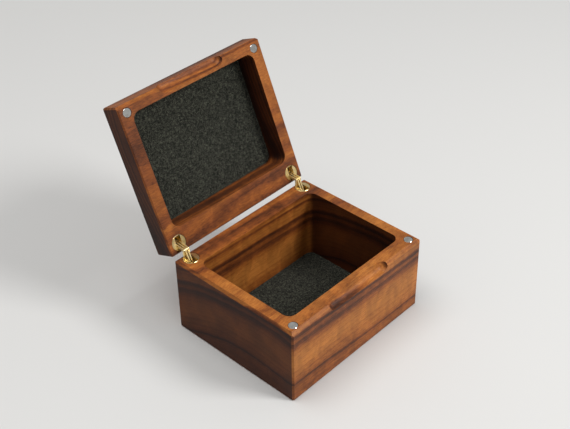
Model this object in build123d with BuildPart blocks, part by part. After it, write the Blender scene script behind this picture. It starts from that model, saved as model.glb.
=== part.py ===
from build123d import *
import os
from math import cos, hypot, radians, sin, sqrt, tan

# Walnut card box with a hinged lid, standing open with the lid on its stop.
# Frame: X runs along the hinge line, +Y to the back, +Z up.
# The origin is the centre of the underside of the base.

os.makedirs("parts", exist_ok=True)

# Driving dimensions, in millimetres and degrees

case_width = 116.0
case_depth = 97.0
base_height = 53.0
lid_side_height = 14.0
lid_roof_rise = 6.0
open_angle = 112.8
rim_gap = 0.1

side_wall = 8.5
base_front_wall = 10.0
base_back_wall = 13.5
base_floor = 3.5
lid_front_wall = 7.0
lid_back_wall = 15.0
lid_roof = 4.0
pocket_corner = 5.5

side_edge_bevel = 1.5
front_edge_bevel = 2.0
lid_rim_bevel = 0.8
upright_bevel = 1.0
foot_bevel = 0.8

cove_radius = 5.2
cove_straight = 42.0

felt_thickness = 0.8
felt_margin = 0.3

magnet_diameter = 6.0
magnet_thickness = 3.0
magnet_side_inset = 6.0
magnet_front_inset = 5.2
magnet_bevel = 0.35
seat_clearance = 0.05

hinge_side_inset = 8.2
hinge_back_skin = 0.7
barrel_length = 12.5
barrel_wall = 0.25
barrel_bevel = 0.4
leaf_thickness = 0.8
leaf_spacing = 0.05
leaf_width = 1.5
leaf_side_play = 0.1
pin_diameter = 0.8
pin_play = 0.05
track_play = 0.1
pivot_offset = 3.5
pivot_arm = 8.0
track_arm = 9.8
elbow_angle = 97.0
closed_arm_angle = 26.0
arm_share = 0.6
mouth_margin = 0.1
pin_cover = 0.3
track_grip = 0.9
groove_floor = 0.1

# Hinge layout, in the plane square to the hinge line.
# u runs from a barrel's centre towards the back, v along the barrel out of its mouth,
# and v is zero on the plane where base and lid meet.

pin_radius = pin_diameter / 2
pivot_depth = pivot_arm * sin(radians(closed_arm_angle))


def scissor_centre(opening):
    """Place of the centre pin when the lid is open by an angle."""
    arm_angle = radians(closed_arm_angle + arm_share * opening)
    return (
        pivot_offset - pivot_arm * cos(arm_angle),
        -pivot_depth + pivot_arm * sin(arm_angle),
    )


def track_point(opening):
    """Place of the sliding pin in its track when the lid is open by an angle."""
    centre_u, centre_v = scissor_centre(opening)
    tail_angle = radians(closed_arm_angle + (arm_share - 1) * opening - elbow_angle)
    return (
        centre_u + track_arm * cos(tail_angle),
        centre_v + track_arm * sin(tail_angle),
    )


def mirrored(point):
    """The same place in the lid's half, across the plane halfway between base and lid."""
    centre_u, centre_v = scissor_centre(open_angle)
    along_u = cos(radians(open_angle / 2))
    along_v = -sin(radians(open_angle / 2))
    off_u = point[0] - centre_u
    off_v = point[1] - centre_v
    along = off_u * along_u + off_v * along_v
    return (
        centre_u + 2 * along * along_u - off_u,
        centre_v + 2 * along * along_v - off_v,
    )


base_pivot = (pivot_offset, -pivot_depth)
centre_pivot = scissor_centre(open_angle)
base_track = track_point(open_angle)
lid_pivot = mirrored(base_pivot)
lid_track = mirrored(base_track)
track_start = track_point(0)
track_middle = track_point(open_angle / 2)
track_end = track_point(open_angle)

# Pocket and barrel, just large enough for the leaves in every position

leaf_pitch = leaf_thickness + leaf_spacing
leaf_stack = 5 * leaf_thickness + 4 * leaf_spacing
leaf_half_width = leaf_width / 2
pocket_half = leaf_stack / 2 + leaf_side_play
pocket_reach = max(pivot_offset, -scissor_centre(0)[0]) + leaf_half_width + mouth_margin
pocket_depth = -track_start[1] + leaf_half_width + groove_floor
barrel_radius = hypot(pocket_reach, pocket_half) + barrel_wall
pivot_reach = sqrt(barrel_radius**2 - (pivot_offset + pin_radius) ** 2) - pin_cover
track_reach = pocket_half + track_grip
hinge_back_inset = barrel_radius + hinge_back_skin

# Frames of the base and of the open lid

mating_height = base_height + rim_gap / 2
back_face = case_depth / 2
barrel_y = back_face - hinge_back_inset
turn_u = centre_pivot[0] + centre_pivot[1] / tan(radians(open_angle / 2))
turn_y = barrel_y + turn_u

base_rim = Plane.XY.offset(base_height)
lid_meeting = Plane(
    origin=(0, turn_y, mating_height),
    x_dir=(1, 0, 0),
    z_dir=(0, sin(radians(open_angle)), cos(radians(open_angle))),
)
lid_rim = lid_meeting.offset(rim_gap / 2)
lid_back = back_face - turn_y
lid_middle = lid_back - case_depth / 2
lid_height = lid_side_height + lid_roof_rise
lid_up = Axis(lid_rim.origin, lid_rim.z_dir)
lid_backward = Axis(lid_rim.origin, lid_rim.y_dir)

cavity_width = case_width - 2 * side_wall
base_cavity_depth = case_depth - base_front_wall - base_back_wall
base_cavity_y = (base_front_wall - base_back_wall) / 2
lid_recess_depth = case_depth - lid_front_wall - lid_back_wall
lid_recess_y = lid_middle + (lid_front_wall - lid_back_wall) / 2
magnet_x = case_width / 2 - magnet_side_inset
hinge_x = case_width / 2 - hinge_side_inset
sides = {"left": -1, "right": 1}


def mouth(half, side):
    """Frame of a barrel: origin in its mouth, Y towards the back, Z out of the mouth."""
    if half == "base":
        return Plane(origin=(side * hinge_x, barrel_y, mating_height))
    centre = lid_meeting.from_local_coords((side * hinge_x, lid_back - hinge_back_inset, 0))
    return Plane(origin=centre, x_dir=(-1, 0, 0), z_dir=-lid_meeting.z_dir)


def cheek(half, side):
    """Frame of the layout above, through the middle of a barrel."""
    frame = mouth(half, side)
    return Plane(origin=frame.origin, x_dir=frame.y_dir, z_dir=frame.x_dir)


# Base, milled from one block

with BuildPart() as box_base:
    with BuildSketch():
        Rectangle(case_width, case_depth)
    extrude(amount=base_height)
    top_edges = box_base.faces().sort_by(Axis.Z)[-1].edges()
    chamfer(top_edges.sort_by(Axis.Y)[0], length=front_edge_bevel)
    top_edges = box_base.faces().sort_by(Axis.Z)[-1].edges()
    chamfer(top_edges.sort_by(Axis.Y)[1:], length=side_edge_bevel)
    chamfer(box_base.edges().filter_by(Axis.Z), length=upright_bevel)
    chamfer(box_base.faces().sort_by(Axis.Z)[0].edges(), length=foot_bevel)
    with BuildSketch(base_rim):
        with Locations((0, base_cavity_y)):
            RectangleRounded(cavity_width, base_cavity_depth, pocket_corner)
    extrude(amount=base_floor - base_height, mode=Mode.SUBTRACT)
    with BuildSketch(Plane.YZ):
        with Locations((-back_face, base_height)):
            Circle(cove_radius)
    extrude(amount=cove_straight / 2, both=True, mode=Mode.SUBTRACT)
    with Locations(
        (-cove_straight / 2, -back_face, base_height),
        (cove_straight / 2, -back_face, base_height),
    ):
        Sphere(cove_radius, mode=Mode.SUBTRACT)
    with BuildSketch(base_rim):
        with Locations(
            (-magnet_x, magnet_front_inset - back_face),
            (magnet_x, magnet_front_inset - back_face),
        ):
            Circle(magnet_diameter / 2 + seat_clearance)
    extrude(amount=-magnet_thickness, mode=Mode.SUBTRACT)
    with BuildSketch(base_rim):
        with Locations((-hinge_x, barrel_y), (hinge_x, barrel_y)):
            Circle(barrel_radius + seat_clearance)
    extrude(amount=-barrel_length, mode=Mode.SUBTRACT)
box_base.part.label = "box_base"
export_step(box_base.part, "parts/box_base.step")

# Lid, milled from the same stock, with a bevelled roof

with BuildPart() as box_lid:
    with BuildSketch(lid_rim):
        with Locations((0, lid_middle)):
            Rectangle(case_width, case_depth)
    extrude(amount=lid_height)
    chamfer(box_lid.faces().sort_by(lid_up)[-1].edges(), length=lid_roof_rise)
    rim_edges = box_lid.faces().sort_by(lid_up)[0].edges()
    chamfer(rim_edges.sort_by(lid_backward)[0], length=front_edge_bevel)
    rim_edges = box_lid.faces().sort_by(lid_up)[0].edges()
    chamfer(rim_edges.sort_by(lid_backward)[1:], length=lid_rim_bevel)
    chamfer(box_lid.edges().filter_by(lid_up), length=upright_bevel)
    with BuildSketch(lid_rim):
        with Locations((0, lid_recess_y)):
            RectangleRounded(cavity_width, lid_recess_depth, pocket_corner)
    extrude(amount=lid_height - lid_roof, mode=Mode.SUBTRACT)
    lid_front = lid_back - case_depth
    lid_front_edge = lid_rim.from_local_coords((0, lid_front, 0))
    with BuildSketch(Plane(origin=lid_front_edge, x_dir=lid_rim.y_dir, z_dir=(1, 0, 0))):
        Circle(cove_radius)
    extrude(amount=cove_straight / 2, both=True, mode=Mode.SUBTRACT)
    with Locations(lid_rim):
        with Locations((-cove_straight / 2, lid_front, 0), (cove_straight / 2, lid_front, 0)):
            Sphere(cove_radius, mode=Mode.SUBTRACT)
    with BuildSketch(lid_rim):
        with Locations(
            (-magnet_x, lid_front + magnet_front_inset),
            (magnet_x, lid_front + magnet_front_inset),
        ):
            Circle(magnet_diameter / 2 + seat_clearance)
    extrude(amount=magnet_thickness, mode=Mode.SUBTRACT)
    with BuildSketch(lid_rim):
        with Locations(
            (-hinge_x, lid_back - hinge_back_inset), (hinge_x, lid_back - hinge_back_inset)
        ):
            Circle(barrel_radius + seat_clearance)
    extrude(amount=barrel_length, mode=Mode.SUBTRACT)
box_lid.part.label = "box_lid"
export_step(box_lid.part, "parts/box_lid.step")

# Felt linings on the floors of the base and the lid

with BuildPart() as base_felt:
    with BuildSketch(Plane.XY.offset(base_floor)):
        with Locations((0, base_cavity_y)):
            RectangleRounded(
                cavity_width - 2 * felt_margin,
                base_cavity_depth - 2 * felt_margin,
                pocket_corner - felt_margin,
            )
    extrude(amount=felt_thickness)
base_felt.part.label = "base_felt"
export_step(base_felt.part, "parts/base_felt.step")

with BuildPart() as lid_felt:
    with BuildSketch(lid_rim.offset(lid_height - lid_roof)):
        with Locations((0, lid_recess_y)):
            RectangleRounded(
                cavity_width - 2 * felt_margin,
                lid_recess_depth - 2 * felt_margin,
                pocket_corner - felt_margin,
            )
    extrude(amount=-felt_thickness)
lid_felt.part.label = "lid_felt"
export_step(lid_felt.part, "parts/lid_felt.step")

# Magnets, flush with the rims and facing each other when the lid is down

for side_name, side in sides.items():
    magnet_frames = {
        "base": Plane(origin=(side * magnet_x, magnet_front_inset - back_face, base_height)),
        "lid": Plane(
            origin=lid_rim.from_local_coords((side * magnet_x, lid_front + magnet_front_inset, 0)),
            x_dir=(-1, 0, 0),
            z_dir=-lid_rim.z_dir,
        ),
    }
    for half, face in magnet_frames.items():
        with BuildPart() as magnet:
            with BuildSketch(face):
                Circle(magnet_diameter / 2)
            extrude(amount=-magnet_thickness)
            outward = Axis(face.origin, face.z_dir)
            chamfer(magnet.faces().sort_by(outward)[-1].edges(), length=magnet_bevel)
        magnet.part.label = f"{side_name}_{half}_magnet"
        export_step(magnet.part, f"parts/{side_name}_{half}_magnet.step")

# Barrels: a pocket for the leaves, a bore for the fixed pin, a curved track for the sliding pin

for side_name, side in sides.items():
    for half in ("base", "lid"):
        opening_frame = mouth(half, side)
        cheek_frame = cheek(half, side)
        with BuildPart() as barrel:
            with BuildSketch(opening_frame.offset(-rim_gap / 2)):
                Circle(barrel_radius)
            extrude(amount=-barrel_length)
            outward = Axis(opening_frame.origin, opening_frame.z_dir)
            chamfer(barrel.faces().sort_by(outward)[-1].edges(), length=barrel_bevel)
            with BuildSketch(opening_frame):
                Rectangle(2 * pocket_half, 2 * pocket_reach)
            extrude(amount=-pocket_depth, mode=Mode.SUBTRACT)
            with BuildSketch(cheek_frame):
                with Locations(base_pivot):
                    Circle(pin_radius)
            extrude(amount=pivot_reach, both=True, mode=Mode.SUBTRACT)
            with BuildSketch(cheek_frame) as track:
                with BuildLine():
                    track_line = ThreePointArc(track_start, track_middle, track_end)
                SlotArc(track_line, height=2 * (pin_radius + track_play))
            extrude(amount=track_reach, both=True, mode=Mode.SUBTRACT)
        barrel.part.label = f"{side_name}_{half}_barrel"
        export_step(barrel.part, f"parts/{side_name}_{half}_barrel.step")

# Pins, all square to the leaves: each is fixed in one body and turns or slides in the others

pins = {
    "base_pin": (base_pivot, pivot_reach),
    "lid_pin": (lid_pivot, pivot_reach),
    "centre_pin": (centre_pivot, leaf_stack / 2),
    "base_slide_pin": (base_track, track_reach - pin_play),
    "lid_slide_pin": (lid_track, track_reach - pin_play),
}
for side_name, side in sides.items():
    for pin_name, (place, reach) in pins.items():
        with BuildPart() as pin:
            with BuildSketch(cheek("base", side)):
                with Locations(place):
                    Circle(pin_radius)
            extrude(amount=reach, both=True)
        pin.part.label = f"{side_name}_{pin_name}"
        export_step(pin.part, f"parts/{side_name}_{pin_name}.step")

# Leaves: an elbow from the fixed pin, through the centre pin, to the sliding pin.
# Three outer leaves turn on the base's pin, and two inner ones between them on the lid's.

running_hole = pin_radius + pin_play
leaf_sets = {
    "outer_leaf": ((-2, 0, 2), base_pivot, pin_radius, lid_track),
    "inner_leaf": ((-1, 1), lid_pivot, running_hole, base_track),
}
for side_name, side in sides.items():
    for leaf_name, (layers, turning_end, centre_hole, sliding_end) in leaf_sets.items():
        for number, layer in enumerate(layers, start=1):
            layer_frame = cheek("base", side).offset(layer * leaf_pitch)
            with BuildPart() as leaf:
                with BuildSketch(layer_frame):
                    with BuildLine():
                        Line(centre_pivot, turning_end)
                    trace(line_width=leaf_width)
                    with BuildLine():
                        Line(centre_pivot, sliding_end)
                    trace(line_width=leaf_width)
                    with Locations(turning_end, centre_pivot, sliding_end):
                        Circle(leaf_half_width)
                    with Locations(turning_end):
                        Circle(running_hole, mode=Mode.SUBTRACT)
                    with Locations(centre_pivot):
                        Circle(centre_hole, mode=Mode.SUBTRACT)
                    with Locations(sliding_end):
                        Circle(pin_radius, mode=Mode.SUBTRACT)
                extrude(amount=leaf_thickness / 2, both=True)
            leaf.part.label = f"{side_name}_{leaf_name}_{number}"
            export_step(leaf.part, f"parts/{side_name}_{leaf_name}_{number}.step")
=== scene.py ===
import math

import bpy
import numpy as np
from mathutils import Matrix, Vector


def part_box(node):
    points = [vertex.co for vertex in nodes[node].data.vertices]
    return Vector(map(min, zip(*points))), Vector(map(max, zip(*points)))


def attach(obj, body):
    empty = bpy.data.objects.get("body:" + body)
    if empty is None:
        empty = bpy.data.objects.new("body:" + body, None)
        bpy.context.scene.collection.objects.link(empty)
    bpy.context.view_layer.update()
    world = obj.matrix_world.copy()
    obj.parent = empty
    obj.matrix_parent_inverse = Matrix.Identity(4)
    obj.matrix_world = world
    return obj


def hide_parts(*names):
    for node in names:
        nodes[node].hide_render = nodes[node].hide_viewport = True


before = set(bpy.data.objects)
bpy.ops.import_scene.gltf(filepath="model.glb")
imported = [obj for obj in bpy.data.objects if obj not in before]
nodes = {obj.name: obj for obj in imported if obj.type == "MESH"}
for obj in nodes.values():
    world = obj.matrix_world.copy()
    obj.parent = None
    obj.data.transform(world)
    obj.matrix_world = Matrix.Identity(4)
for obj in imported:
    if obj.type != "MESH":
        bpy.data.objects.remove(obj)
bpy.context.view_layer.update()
mm = 0.001


def turnAboutX(angle):
    return np.array([[1, 0, 0],
                     [0, math.cos(angle), -math.sin(angle)],
                     [0, math.sin(angle), math.cos(angle)]])


# Shader maths: a socket that can be added, multiplied and compared like a number

class Wire:
    def __init__(self, shader, socket):
        self.shader = shader
        self.socket = socket

    def maths(self, operation, *values):
        return self.shader.add("ShaderNodeMath", {"operation": operation}, dict(enumerate(values)))

    def __add__(self, other):
        return self.maths("ADD", self, other)

    def __radd__(self, other):
        return self.maths("ADD", other, self)

    def __sub__(self, other):
        return self.maths("SUBTRACT", self, other)

    def __rsub__(self, other):
        return self.maths("SUBTRACT", other, self)

    def __mul__(self, other):
        return self.maths("MULTIPLY", self, other)

    def __rmul__(self, other):
        return self.maths("MULTIPLY", other, self)

    def __truediv__(self, other):
        return self.maths("DIVIDE", self, other)

    def __pow__(self, other):
        return self.maths("POWER", self, other)

    def fraction(self):
        return self.maths("FRACT", self)

    def size(self):
        return self.maths("ABSOLUTE", self)

    def between(self, low, high):
        # 0 at low, 1 at high, smooth in between
        return self.shader.add(
            "ShaderNodeMapRange",
            {"interpolation_type": "SMOOTHSTEP"},
            {"Value": self, "From Min": low, "From Max": high},
        )


class Shader:
    def __init__(self, name):
        self.material = bpy.data.materials.new(name)
        self.material.use_nodes = True
        self.tree = self.material.node_tree
        self.surface = self.tree.nodes["Principled BSDF"]

    def add(self, kind, settings=None, inputs=None, output=0):
        # any node: its settings first, then the values or wires of its sockets
        node = self.tree.nodes.new(kind)
        for key, value in (settings or {}).items():
            if key == "stops":
                self.setStops(node.color_ramp, value)
            else:
                setattr(node, key, value)
        self.feed(node, inputs or {})
        return Wire(self, node.outputs[output])

    def feed(self, node, inputs):
        for key, value in inputs.items():
            if isinstance(value, Wire):
                self.tree.links.new(value.socket, node.inputs[key])
            else:
                node.inputs[key].default_value = value

    def setStops(self, ramp, stops):
        while len(ramp.elements) < len(stops):
            ramp.elements.new(0.5)
        for element, (place, colour) in zip(ramp.elements, stops):
            element.position = place
            element.color = (*colour, 1)

    def set(self, **inputs):
        self.feed(self.surface, {key.replace("_", " "): value for key, value in inputs.items()})

    def place(self, turn=0.0, pivot=(0, 0, 0)):
        # the object's own coordinates in millimetres, turned about X and counted from a pivot
        away = turnAboutX(turn) @ np.array(pivot)
        where = self.add("ShaderNodeTexCoord", output="Object")
        turned = self.add("ShaderNodeMapping", None, {
            "Vector": where, "Rotation": (turn, 0, 0), "Location": tuple(-away)})
        return self.stretch(turned, (1 / mm, 1 / mm, 1 / mm))

    def stretch(self, vector, by):
        return self.add("ShaderNodeVectorMath", {"operation": "MULTIPLY"}, {0: vector, 1: by})

    def parts(self, vector):
        node = self.tree.nodes.new("ShaderNodeSeparateXYZ")
        self.feed(node, {0: vector})
        return [Wire(self, socket) for socket in node.outputs]

    def noise(self, vector, scale=1.0, detail=2.0, roughness=0.5, distortion=0.0):
        return self.add("ShaderNodeTexNoise", None, {
            "Vector": vector, "Scale": scale, "Detail": detail,
            "Roughness": roughness, "Distortion": distortion})

    def mix(self, factor, first, second, kind="MIX"):
        return self.add("ShaderNodeMix", {"data_type": "RGBA", "blend_type": kind}, {
            0: factor, 6: first, 7: second}, output=2)

    def bump(self, height, depth, strength=1.0):
        return self.add("ShaderNodeBump", None, {
            "Height": height, "Distance": depth, "Strength": strength})


def paint(names, material):
    for name in names:
        nodes[name].data.materials.clear()
        nodes[name].data.materials.append(material)


# Walnut: one log for base and lid, grain along X, so the two ends show growth rings.
# Hearts are places of the log's middle in Y and Z, in millimetres; the lid's counts from
# the hinge line with the lid closed. A noise is its features per millimetre along X and
# across the grain, then its detail, roughness and distortion.

walnut = {
    "baseHeart": (-20.0, -120.0),
    "lidHeart": (-69.5, -173.05),
    "outerRadius": 175.3,
    "slant": 0.03,  # the bands sink by this much per millimetre along X
    "bend": 7,
    "bendNoise": (0.007, 0.018, 1.5, 0.5, 0.0),
    "waver": 1.8,
    "waverNoise": (0.020, 0.20, 3.0, 0.5, 0.0),
    "ringWidth": 2.7,
    "ringUneven": 2.2,
    "ringNoise": 0.11,
    "lateWoodPower": 2.6,
    "lateWoodEnd": (0.955, 1.0),
    "lateWood": 0.12,
    "drift": 0.30,
    "driftNoise": (0.020, 0.06, 2.0, 0.5, 0.0),
    "fibre": 0.50,
    "fibreNoise": (0.24, 2.6, 3.0, 0.65, 0.0),
    "mottle": 0.42,
    "mottleNoise": (0.30, 1.1, 3.0, 0.7, 0.0),
    "figureNoise": (0.11, 0.05, 2.5, 0.5, 0.8),
    "figureRange": (0.30, 0.72),
    "figureShade": (0.80, 0.38),  # darkest shade, and how much lighter it gets
    "poreNoise": (0.26, 4.6, 1.0, 0.5, 0.0),
    "poreRange": (0.66, 0.74),
    "poreDepth": 0.62,
    "endFacing": (0.55, 0.95),
    "relief": 0.05 * mm,
    "tones": [
        (0.12, (0.034, 0.011, 0.005)),  # near black
        (0.30, (0.088, 0.025, 0.008)),  # umber
        (0.47, (0.188, 0.051, 0.012)),  # red brown
        (0.63, (0.298, 0.089, 0.016)),  # amber
        (0.84, (0.455, 0.165, 0.031)),  # gold
    ],
    # end faces: the darker colour of end grain, made stronger as painted shade of an end out of
    # the light
    "endGrainAndShade": (0.22, 0.17, 0.15),
    "pore": (0.026, 0.010, 0.006),
    "gloss": 0.42,
    "poreRough": 0.20,
    "fibreRough": 0.14,
    "endRough": 0.16,
    "fibreRelief": 0.35,
    "reliefStrength": 0.5,
    "oil": {"Coat_Weight": 0.05, "Coat_Roughness": 0.25, "Specular_IOR_Level": 0.22},
}
# tone of the heartwood at each depth in millimetres below the base's front top edge,
# where a rising depth goes towards the heart; 0 is dark and 1 is gold
baseBands = [
    (-12, 0.50), (-9.5, 0.68), (-8, 0.36), (-6.5, 0.60), (-4.5, 0.76), (-3, 0.42),
    (-1.5, 0.68), (0.5, 0.74), (4.4, 0.72), (5.6, 0.32), (6.8, 0.30), (7.8, 0.52),
    (9.5, 0.56), (11, 0.35), (12.5, 0.38), (15.5, 0.64), (19, 0.78), (27, 0.84),
    (33, 0.76), (38, 0.68), (40.6, 0.58), (41.4, 0.30), (42.2, 0.34), (43.0, 0.54),
    (47, 0.62), (49, 0.50), (52, 0.60)]
lidBands = [
    (-30, 0.50), (-26, 0.62), (-23, 0.38), (-20, 0.58), (-17.5, 0.34), (-14, 0.30),
    (-11.5, 0.40), (-10, 0.60), (-8.5, 0.38), (-7, 0.68), (-5.5, 0.48), (-4, 0.72),
    (-2.5, 0.40), (-1.2, 0.62), (0.3, 0.68), (1.5, 0.60), (3, 0.50), (6, 0.42)]


def makeWalnut(name, heart, bands, turn, pivot):
    wood = Shader(name)
    spot = wood.place(turn, pivot)

    def grainNoise(kind):
        along, across, detail, roughness, distortion = walnut[kind]
        drawn = wood.stretch(spot, (along, across, across))
        return wood.noise(drawn, 1.0, detail, roughness, distortion)

    alongX, acrossY, upZ = wood.parts(spot)
    # the trunk bends slowly along its length and wavers a little close up
    bend = grainNoise("bendNoise")
    waver = grainNoise("waverNoise")
    fromHeartY = acrossY - heart[0]
    fromHeartZ = upZ - heart[1]
    radius = (fromHeartY * fromHeartY + fromHeartZ * fromHeartZ) ** 0.5
    radius = radius + walnut["bend"] * (bend - 0.5) + walnut["waver"] * (waver - 0.5)
    depth = walnut["outerRadius"] - radius - walnut["slant"] * alongX
    # rings of uneven width, each dark at its outer edge
    spread = wood.add("ShaderNodeTexNoise", {"noise_dimensions": "1D"}, {
        "W": radius * walnut["ringNoise"], "Scale": 1.0, "Detail": 1.0})
    ring = (radius / walnut["ringWidth"] + walnut["ringUneven"] * spread).fraction()
    lateWood = ring ** walnut["lateWoodPower"] * (1 - ring.between(*walnut["lateWoodEnd"]))
    first, last = bands[0][0], bands[-1][0]
    band = wood.add("ShaderNodeValToRGB", {"stops": [
        ((place - first) / (last - first), (tone, tone, tone)) for place, tone in bands]},
        {"Fac": (depth - first) / (last - first)})
    drift = grainNoise("driftNoise")
    fibre = grainNoise("fibreNoise")
    mottle = grainNoise("mottleNoise")
    tone = band + walnut["drift"] * (drift - 0.5) - lateWood * walnut["lateWood"]
    tone = tone + walnut["fibre"] * (fibre - 0.5) + walnut["mottle"] * (mottle - 0.5)
    colour = wood.add("ShaderNodeValToRGB", {"stops": walnut["tones"]}, {"Fac": tone})
    # cross figure, where the fibres dip in and out of the surface
    figure = grainNoise("figureNoise")
    least, swing = walnut["figureShade"]
    shade = least + swing * figure.between(*walnut["figureRange"])
    colour = wood.mix(1.0, colour, wood.add("ShaderNodeCombineColor", None, {
        0: shade, 1: shade, 2: shade}), "MULTIPLY")
    # open pores: short dark dashes along the grain, dots on the ends
    dash = grainNoise("poreNoise")
    pore = dash.between(*walnut["poreRange"])
    colour = wood.mix(pore * walnut["poreDepth"], colour, (*walnut["pore"], 1))
    # end faces darkened: partly end grain's own darker colour, partly painted shade
    facing = wood.parts(wood.add("ShaderNodeTexCoord", output="Normal"))[0].size()
    ends = facing.between(*walnut["endFacing"])
    endGrainAndShadeColour = wood.mix(1.0, colour, (*walnut["endGrainAndShade"], 1), "MULTIPLY")
    colour = wood.mix(ends, colour, endGrainAndShadeColour)
    rough = walnut["gloss"] + walnut["poreRough"] * pore + walnut["fibreRough"] * fibre
    height = fibre * walnut["fibreRelief"] - pore
    wood.set(
        Base_Color=colour,
        Roughness=rough + walnut["endRough"] * ends,
        Normal=wood.bump(height, walnut["relief"], walnut["reliefStrength"]),
        **walnut["oil"])
    return wood.material


# the open lid has turned from closed by this angle about this line, in metres
openAngle = math.radians(112.8)
hingeLine = (0.0, 0.04949, 0.05305)
paint(["box_base"], makeWalnut("walnutBase", walnut["baseHeart"], baseBands, 0.0, (0, 0, 0)))
paint(["box_lid"], makeWalnut("walnutLid", walnut["lidHeart"], lidBands, openAngle, hingeLine))
print("walnut done")


# Brass hinges, steel pins and nickel magnets

metals = {
    "polishedBrass": {
        "pieces": "barrel",
        "colour": (0.86, 0.63, 0.25),
        "worn": (0.94, 0.77, 0.43),
        "gloss": 0.18,
        "scratches": (9, 1.2, 1.2),
    },
    "satinBrass": {
        "pieces": "leaf",
        "colour": (0.94, 0.77, 0.43),
        "worn": (0.97, 0.75, 0.31),
        "gloss": 0.30,
        "scratches": (1.2, 6, 6),
    },
    "groundSteel": {
        "pieces": "pin",
        "colour": (0.58, 0.57, 0.54),
        "worn": (0.78, 0.78, 0.75),
        "gloss": 0.20,
        "scratches": (1, 8, 8),
    },
    "nickelPlate": {
        "pieces": "magnet",
        "colour": (0.78, 0.78, 0.75),
        "worn": (0.58, 0.57, 0.54),
        "gloss": 0.06,
        "scratches": (1.5, 6, 6),
    },
}
metalWear = {
    "cloudScale": 0.35,
    "cloudRange": (0.35, 0.70),
    "cloudRough": 0.16,
    "scratchRough": 0.10,
    "relief": 0.01 * mm,
    "reliefStrength": 0.35,
}


def makeMetal(name, metal):
    finish = Shader(name)
    spot = finish.place()
    cloud = finish.noise(spot, scale=metalWear["cloudScale"], detail=3.0)
    lines = finish.noise(finish.stretch(spot, metal["scratches"]), detail=2.0, roughness=0.7)
    wear = cloud.between(*metalWear["cloudRange"])
    rough = metal["gloss"] + metalWear["cloudRough"] * cloud
    finish.set(
        Base_Color=finish.mix(wear, (*metal["colour"], 1), (*metal["worn"], 1)),
        Metallic=1.0,
        Roughness=rough + metalWear["scratchRough"] * lines,
        Normal=finish.bump(lines, metalWear["relief"], metalWear["reliefStrength"]))
    return finish.material


for metalName, metal in metals.items():
    paint([name for name in nodes if metal["pieces"] in name], makeMetal(metalName, metal))
print("metal done")


# Felt linings: a cut mat with a soft uneven face, and loose fibres lying on it

felt = {
    "thickness": 0.8 * mm,
    "corner": 5.2 * mm,
    "cell": 0.7 * mm,
    "lumps": 0.10 * mm,
    "lumpSize": 2.2 * mm,
    "lumpWaves": 40,
    "lumpShare": 12,  # the waves' sum is divided by this
    "edgeRound": 0.35 * mm,
    "fibres": 2600,
    "fibreLength": 2.6 * mm,
    "fibreShortest": 0.4,  # as a share of the longest
    "fibreCurl": 2.2,  # the most that one turns from end to end, in radians
    "fibreWidth": 0.07 * mm,
    "fibreRise": 0.16 * mm,
    "fibreMargin": 2.2 * mm,
    "matted": {"scale": 0.7, "detail": 5.0, "roughness": 0.75, "distortion": 0.8},
    "strands": {"scale": 1.5, "detail": 3.0, "roughness": 0.65, "distortion": 2.5},
    "mattedShare": 0.45,
    "strandShare": 0.70,
    "tones": [
        (0.46, (0.004, 0.0045, 0.004)),  # shadow between fibres
        (0.57, (0.009, 0.010, 0.008)),  # charcoal
        (0.68, (0.110, 0.112, 0.083)),  # pale fleck
    ],
    "relief": 0.35 * mm,
    "reliefStrength": 0.9,
    "nap": {
        "Roughness": 0.95,
        "Sheen_Weight": 0.08,
        "Sheen_Roughness": 0.5,
        "Specular_IOR_Level": 0.12,
    },
}


def makeFelt():
    cloth = Shader("charcoalFelt")
    spot = cloth.place()
    matted = cloth.noise(spot, **felt["matted"])
    strands = cloth.noise(spot, **felt["strands"])
    tone = matted * felt["mattedShare"] + strands * felt["strandShare"]
    cloth.set(
        Base_Color=cloth.add("ShaderNodeValToRGB", {"stops": felt["tones"]}, {"Fac": tone}),
        Normal=cloth.bump(tone, felt["relief"], felt["reliefStrength"]),
        **felt["nap"])
    return cloth.material


def buildMesh(name, points, faces, material, smooth=True):
    mesh = bpy.data.meshes.new(name)
    mesh.from_pydata(points, [], faces)
    mesh.polygons.foreach_set("use_smooth", np.full(len(faces), smooth))
    mesh.materials.append(material)
    piece = bpy.data.objects.new(name, mesh)
    bpy.context.scene.collection.objects.link(piece)
    return piece


def gridFaces(rows, columns):
    # quads between neighbouring rows and columns of a grid of points
    start = np.arange(rows * columns).reshape(rows, columns)
    corners = [start[:-1, :-1], start[:-1, 1:], start[1:, 1:], start[1:, :-1]]
    return np.stack(corners, -1).reshape(-1, 4)


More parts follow.
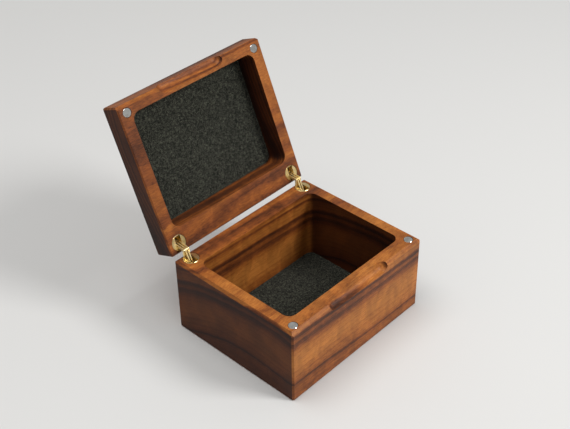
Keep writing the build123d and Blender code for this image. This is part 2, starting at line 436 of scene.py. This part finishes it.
def closedMat(width, depth, seed):
    # A round-cornered mat. Each row's half width shrinks along the corner's arc; the face
    # has smooth random lumps and drops at its edge, and the underside is the same grid, flat.
    columns = int(width / felt["cell"])
    rows = int(depth / felt["cell"])
    across = np.linspace(-1, 1, columns)
    back = np.linspace(-depth / 2, depth / 2, rows)
    into = np.maximum(0, np.abs(back) - (depth / 2 - felt["corner"]))
    bow = np.sqrt(np.maximum(0, felt["corner"] ** 2 - into ** 2))
    halfWidth = width / 2 - felt["corner"] + bow
    x = across[None, :] * halfWidth[:, None]
    y = np.repeat(back[:, None], columns, 1)
    chance = np.random.default_rng(seed)
    waves = chance.uniform(-1, 1, (felt["lumpWaves"], 2)) / felt["lumpSize"]
    phases = chance.uniform(0, 2 * np.pi, felt["lumpWaves"])
    swells = sum(np.sin(x * a + y * b + phase) for (a, b), phase in zip(waves, phases))
    lumps = swells / felt["lumpShare"]
    rim = np.minimum(halfWidth[:, None] - np.abs(x), depth / 2 - np.abs(y))
    drop = felt["edgeRound"] * np.clip(1 - rim / felt["edgeRound"], 0, 1) ** 2
    top = felt["thickness"] + felt["lumps"] * lumps - drop
    upper = np.stack([x, y, top], -1).reshape(-1, 3)
    lower = np.stack([x, y, np.zeros_like(x)], -1).reshape(-1, 3)
    faces = gridFaces(rows, columns)
    grid = np.arange(rows * columns).reshape(rows, columns)
    border = np.concatenate([grid[0, :-1], grid[:-1, -1], grid[-1, :0:-1], grid[:0:-1, 0]])
    following = np.roll(border, -1)
    wall = np.stack([border, border + len(upper), following + len(upper), following], -1)[:, ::-1]
    under = faces[:, ::-1] + len(upper)
    return np.concatenate([upper, lower]), np.concatenate([faces, under, wall])


def looseFibres(width, depth, seed):
    # Short strands, each a flat ribbon of four lengths bent along an arc at a random place
    # and heading, lying just on the face.
    chance = np.random.default_rng(seed)
    count = felt["fibres"]
    joints = 5
    along = np.linspace(-0.5, 0.5, joints)
    length = felt["fibreLength"] * chance.uniform(felt["fibreShortest"], 1.0, (count, 1))
    turn = chance.uniform(-felt["fibreCurl"], felt["fibreCurl"], (count, 1)) * along
    heading = chance.uniform(0, 2 * np.pi, (count, 1)) + turn
    step = np.stack([np.cos(heading), np.sin(heading)], -1) * (length / (joints - 1))[..., None]
    path = np.cumsum(step, 1) - step.mean(1, keepdims=True) * (joints / 2)
    room = np.array([width, depth]) / 2 - felt["fibreMargin"]
    path = path + chance.uniform(-1, 1, (count, 1, 2)) * room
    side = np.stack([-np.sin(heading), np.cos(heading)], -1) * felt["fibreWidth"] / 2
    rise = felt["fibreRise"] * (1 - (2 * along) ** 2) * chance.uniform(0, 1, (count, 1))
    height = felt["thickness"] + felt["lumps"] + rise
    left = np.concatenate([path + side, height[..., None]], -1)
    right = np.concatenate([path - side, height[..., None]], -1)
    points = np.stack([left, right], 2).reshape(-1, 3)
    ribbon = 2 * np.arange(joints - 1)[:, None] + np.array([0, 1, 3, 2])
    faces = (ribbon[None] + 2 * joints * np.arange(count)[:, None, None]).reshape(-1, 4)
    return points, faces


def layFelt(name, body, width, depth, centre, turn, seed):
    # the mat's own plane is turned about X and carried to its place, in the points themselves
    tilt = turnAboutX(turn)
    points, faces = closedMat(width, depth, seed)
    mat = buildMesh(name + "_mat", points @ tilt.T + centre, faces, feltMaterial)
    strands, ribbons = looseFibres(width, depth, seed + 1)
    fibres = buildMesh(name + "_fibres", strands @ tilt.T + centre, ribbons, feltMaterial)
    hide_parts(name)
    arcLoss = (4 - math.pi) * felt["corner"] ** 2
    "box_" + body
    width * depth - arcLoss
    for piece in (mat, fibres):
        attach(piece, body)


def feltPlace(name, turn):
    # centre of the glued face and the mat's size, from the CAD solid's box
    low, high = (np.array(corner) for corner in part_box(name))
    width = high[0] - low[0]
    if turn == 0:
        return width, high[1] - low[1], np.array([0, (low[1] + high[1]) / 2, low[2]])
    tall = high[2] - low[2]
    deep = (tall - felt["thickness"] * abs(math.cos(turn))) / abs(math.sin(turn))
    middle = (low + high) / 2
    outward = np.array([0, math.sin(turn), math.cos(turn)])
    return width, deep, middle + felt["thickness"] / 2 * outward


feltMaterial = makeFelt()
layFelt("base_felt", "base", *feltPlace("base_felt", 0), 0, 11)
layFelt("lid_felt", "lid", *feltPlace("lid_felt", openAngle), math.pi - openAngle, 23)
print("felt done")


# Floor, light and camera

studio = {
    "floor": (0.68, 0.675, 0.66),
    "floorHalf": 3,
    "floorRough": (0.75, 0.1),  # least, and how much the grain adds
    "backdrop": (0.70, 0.70, 0.68),
    "fade": (320, 1300),  # millimetres from the middle of the box
    "lamps": {  # place, size across and power
        "keyLamp": ((0.50, -1.00, 1.00), 0.5, 13),
        "topLamp": ((-0.25, 0.2, 1.3), 0.9, 8),
    },
    "aim": (0, 0, 0.05),
    "sky": 0.38,
    "cameraPlace": (-0.371391, -0.344037, 0.458944),
    "cameraTurn": (53.1395, 0.8145, -46.8974),
    "lens": 67.447,
    "sensor": 36,
}


def makeFloor():
    # seen by the camera, the floor passes into the even backdrop colour away from the box
    finish = Shader("paleFloor")
    spot = finish.place()
    grain = finish.noise(spot, scale=0.05, detail=3.0)
    least, swing = studio["floorRough"]
    finish.set(Base_Color=(*studio["floor"], 1), Roughness=least + swing * grain)
    alongX, acrossY = finish.parts(spot)[:2]
    far = ((alongX * alongX + acrossY * acrossY) ** 0.5).between(*studio["fade"])
    seen = finish.add("ShaderNodeLightPath", output="Is Camera Ray")
    backdrop = finish.add("ShaderNodeEmission", None, {0: (*studio["backdrop"], 1), 1: 1.0})
    lit = Wire(finish, finish.surface.outputs[0])
    both = finish.add("ShaderNodeMixShader", None, {0: far * seen, 1: lit, 2: backdrop})
    finish.feed(finish.tree.nodes["Material Output"], {"Surface": both})
    half = studio["floorHalf"]
    corners = [(-half, -half, 0), (half, -half, 0), (half, half, 0), (-half, half, 0)]
    buildMesh("floor", corners, [(0, 1, 2, 3)], finish.material, False)


def addLamp(name, place, size, power):
    lamp = bpy.data.lights.new(name, "AREA")
    lamp.shape = "DISK"
    lamp.size = size
    lamp.energy = power
    holder = bpy.data.objects.new(name, lamp)
    bpy.context.scene.collection.objects.link(holder)
    holder.location = place
    direction = np.array(studio["aim"]) - np.array(place)
    tilt = math.atan2(math.hypot(direction[0], direction[1]), -direction[2])
    holder.rotation_euler = (tilt, 0, math.atan2(-direction[0], direction[1]))


def makeSky():
    # the sky lights the box evenly, and the camera sees the backdrop colour in its place
    world = bpy.data.worlds.new("studio")
    bpy.context.scene.world = world
    world.use_nodes = True
    tree = world.node_tree
    light = tree.nodes["Background"]
    light.inputs["Color"].default_value = (1, 1, 1, 1)
    light.inputs["Strength"].default_value = studio["sky"]
    view = tree.nodes.new("ShaderNodeBackground")
    view.inputs["Color"].default_value = (*studio["backdrop"], 1)
    both = tree.nodes.new("ShaderNodeMixShader")
    cameraRay = tree.nodes.new("ShaderNodeLightPath").outputs["Is Camera Ray"]
    tree.links.new(cameraRay, both.inputs[0])
    tree.links.new(light.outputs[0], both.inputs[1])
    tree.links.new(view.outputs[0], both.inputs[2])
    tree.links.new(both.outputs[0], tree.nodes["World Output"].inputs[0])


def placeCamera():
    lensData = bpy.data.cameras.new("camera")
    lensData.lens = studio["lens"]
    lensData.sensor_width = studio["sensor"]
    camera = bpy.data.objects.new("camera", lensData)
    bpy.context.scene.collection.objects.link(camera)
    camera.location = studio["cameraPlace"]
    camera.rotation_euler = [math.radians(turn) for turn in studio["cameraTurn"]]
    bpy.context.scene.camera = camera


makeFloor()
for lampName, (place, size, power) in studio["lamps"].items():
    addLamp(lampName, place, size, power)
makeSky()
placeCamera()
bpy.context.scene.view_settings.view_transform = "Standard"
print("studio done")
